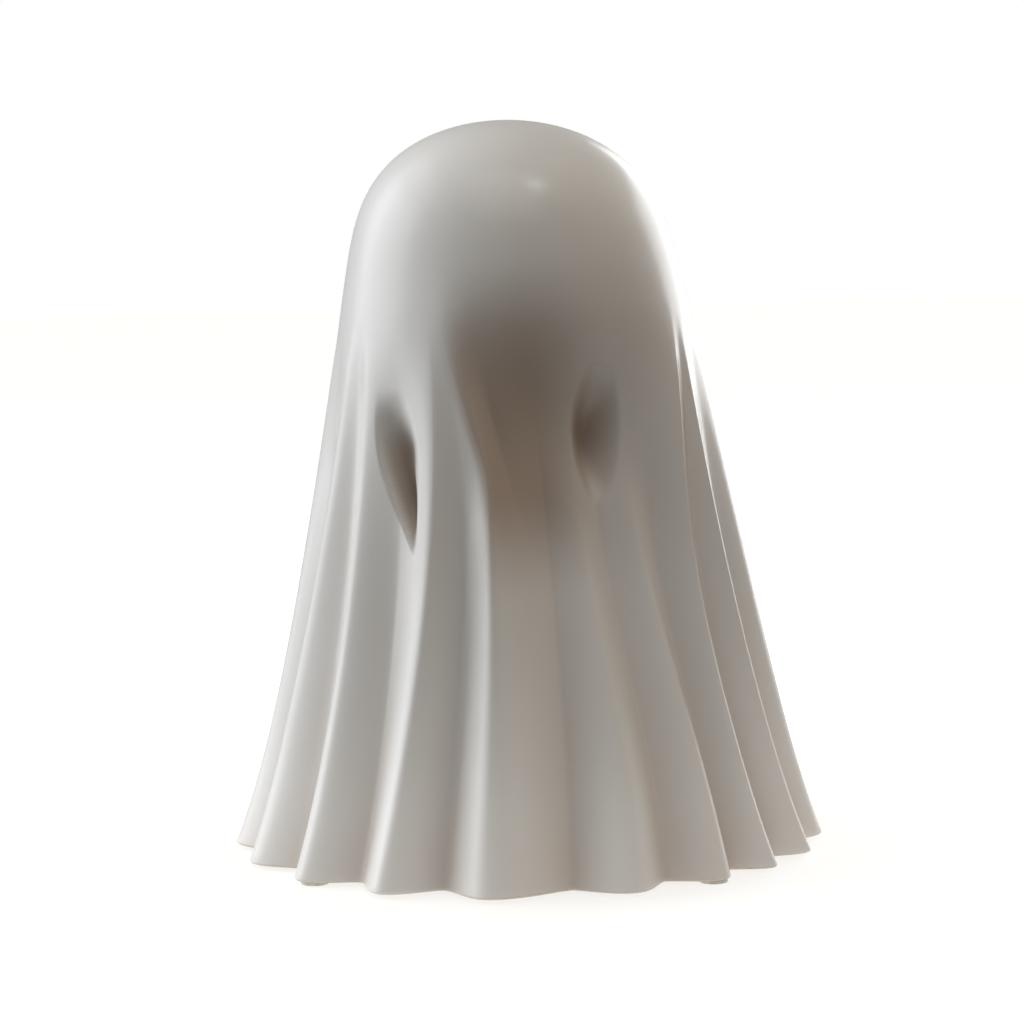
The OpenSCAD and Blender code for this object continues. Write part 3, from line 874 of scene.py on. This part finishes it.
# %% Camera
VIEW_TURN = 9.0
VIEW_RISE = 6.13
VIEW_ROLL = 1.15
VIEW_DISTANCE = 1.0
FRAME_W = 0.28196
MIDDLE_H = 0.1
SEEN_RIGHT = 2.72 * MM
SEEN_UP = 7.49 * MM


def outwards(turn, rise):
    """Direction away from the figure. A turn of 0 is to the front and grows to the right. The rise is from level."""
    turn, rise = math.radians(turn), math.radians(rise)
    return Vector((math.sin(turn) * math.cos(rise), -math.cos(turn) * math.cos(rise), math.sin(rise)))


def make_camera():
    back = outwards(VIEW_TURN, VIEW_RISE)
    data = bpy.data.cameras.new("camera")
    data.lens = data.sensor_width * VIEW_DISTANCE / FRAME_W
    camera = bpy.data.objects.new("camera", data)
    camera.rotation_mode = "QUATERNION"
    level = (-back).to_track_quat("-Z", "Y").to_matrix().to_4x4()
    turned = level @ Matrix.Rotation(math.radians(-VIEW_ROLL), 4, "Z")
    right, up = turned.col[0].to_3d(), turned.col[1].to_3d()
    aim = Vector((0, 0, MIDDLE_H)) - right * SEEN_RIGHT - up * SEEN_UP
    camera.matrix_world = Matrix.Translation(aim + back * VIEW_DISTANCE) @ turned
    bpy.context.scene.collection.objects.link(camera)
    bpy.context.scene.camera = camera
    return camera


camera = make_camera()
print("lens in mm:", round(camera.data.lens, 1))

# %% [markdown]
# The table and the floor
#
# The photograph is high-key: the table glows so brightly that it turns white and throws light up at the hem. A large
# white floor would light the face as well, which lies in deep shade. So the figure stands on a small light table, and
# the floor round it looks the same but is kept from lighting the figure.

# %% Table and floor
TABLE_R = 0.165
FLOOR_R = 3.0
GROUND_STEPS = 96
# Distance from the figure's middle in m, and the strength of the glow there. The weaker glow near the figure
# paints a faint shade round its foot.
GLOW_NEAR, GLOW_FAR = (0.06, 0.74), (0.2, 1.0)


def ring_of(name, inner, outer, material):
    """A flat ring on the ground, or a disc where inner is 0."""
    bm = bmesh.new()
    turns = [math.tau * k / GROUND_STEPS for k in range(GROUND_STEPS)]
    rim = [bm.verts.new((outer * math.cos(a), outer * math.sin(a), 0)) for a in turns]
    if inner:
        hole = [bm.verts.new((inner * math.cos(a), inner * math.sin(a), 0)) for a in turns]
        for k in range(GROUND_STEPS):
            n = (k + 1) % GROUND_STEPS
            bm.faces.new((rim[k], rim[n], hole[n], hole[k]))
    else:
        bm.faces.new(rim)
    ground = to_object(bm, name)
    ground.data.materials.append(material)
    return ground


def lit_white(name):
    """White acrylic over lamps: brighter away from the figure, so that only a faint shadow stays at its foot.

    Its weaker glow there is a painted shade round the foot, along with the real shadow.
    """
    material, nodes, links, shader = new_material(name)
    place = nodes.new("ShaderNodeTexCoord")
    distance = nodes.new("ShaderNodeVectorMath")
    distance.operation = "LENGTH"
    links.new(place.outputs["Object"], distance.inputs[0])
    away = distance.outputs["Value"]
    glow = remap(nodes, links, away, GLOW_NEAR[0], GLOW_FAR[0], GLOW_NEAR[1], GLOW_FAR[1])
    links.new(glow, shader.inputs["Emission Strength"])
    shader.inputs["Emission Color"].default_value = (1, 0.99, 0.97, 1)
    shader.inputs["Base Color"].default_value = (0.25, 0.25, 0.25, 1)
    shader.inputs["Roughness"].default_value = 0.9
    return material


white = lit_white("lit_white")
ring_of("table", 0, TABLE_R, white)
floor = ring_of("floor", TABLE_R, FLOOR_R, white)
floor.visible_diffuse = False
floor.visible_glossy = False
print("table and floor radius in m:", TABLE_R, FLOOR_R)

# %% [markdown]
# The lights
#
# Two large windows stand on the left, one above the other, and two wide lamps hang high over the front and the right. A
# small lamp gives the faint spot on the crown. A window behind the right shoulder whitens that edge of the head,
# because even a satin glaze mirrors at a grazing angle. Level with the face there are only two faint lamps for what the
# walls throw back, a warm one on the right, so it stays in shade under the brow. A bright sky all round would be
# simpler, but it would fill that shade.

# %% Lights
LIGHT_DISTANCE = 1.1
LIGHTS = [
    # name, turn, rise, size in m, power in W, colour
    ("window_left", -93, 14, (0.95, 0.95), 6.2, (0.955, 0.98, 1)),
    ("window_left_high", -100, 30, (1.0, 1.0), 6.6, (0.925, 0.955, 1)),
    ("wall_front_left", -62, 4, (0.6, 0.6), 1.2, (0.96, 0.98, 1)),
    ("lamp_small", 49, 66, (0.15, 0.15), 0.8, (0.9, 0.97, 1)),
    ("lamp_front_high", 8, 63, (0.8, 0.8), 3.6, (0.95, 0.92, 0.86)),
    ("lamp_right_high", 95, 50, (1.0, 1.0), 2.1, (1, 0.84, 0.68)),
    ("wall_right", 72, 6, (0.8, 0.8), 0.55, (1, 0.62, 0.34)),
    ("window_rear", 152, 12, (0.9, 0.6), 9.5, (0.95, 0.98, 1)),
]


def light_at(name, turn, rise, size, power, colour):
    """A wide lamp that looks at the figure's middle."""
    data = bpy.data.lights.new(name, "AREA")
    data.shape = "RECTANGLE"
    data.size, data.size_y = size
    data.energy = power
    data.color = colour
    light = bpy.data.objects.new(name, data)
    away = outwards(turn, rise)
    light.rotation_mode = "QUATERNION"
    light.rotation_quaternion = (-away).to_track_quat("-Z", "Y")
    light.location = Vector((0, 0, MIDDLE_H)) + away * LIGHT_DISTANCE
    bpy.context.scene.collection.objects.link(light)


for light in LIGHTS:
    light_at(*light)
print("lights:", len(bpy.data.lights))

# %% [markdown]
# The air round the figure
#
# A room throws a little warm light back from all sides, and the photograph's background is plain white. One world gives
# both: it lights the figure with a faint warm fill, and only the camera sees it white. A white paper roll behind the
# figure would do too, but it would light the face.

# %% Surroundings
FILL_COLOUR = (1, 0.8, 0.6, 1)
FILL_STRENGTH = 0.015


def make_world():
    world = bpy.data.worlds.new("studio")
    world.use_nodes = True
    nodes, links = world.node_tree.nodes, world.node_tree.links
    fill = nodes["Background"]
    fill.inputs["Color"].default_value = FILL_COLOUR
    fill.inputs["Strength"].default_value = FILL_STRENGTH
    paper = nodes.new("ShaderNodeBackground")
    paper.inputs["Color"].default_value = (1, 1, 1, 1)
    rays = nodes.new("ShaderNodeLightPath")
    seen = nodes.new("ShaderNodeMixShader")
    links.new(rays.outputs["Is Camera Ray"], seen.inputs["Fac"])
    links.new(fill.outputs["Background"], seen.inputs[1])
    links.new(paper.outputs["Background"], seen.inputs[2])
    links.new(seen.outputs["Shader"], nodes["World Output"].inputs["Surface"])
    bpy.context.scene.world = world


make_world()
bpy.context.scene.view_settings.view_transform = "Standard"
print("view transform:", bpy.context.scene.view_settings.view_transform)
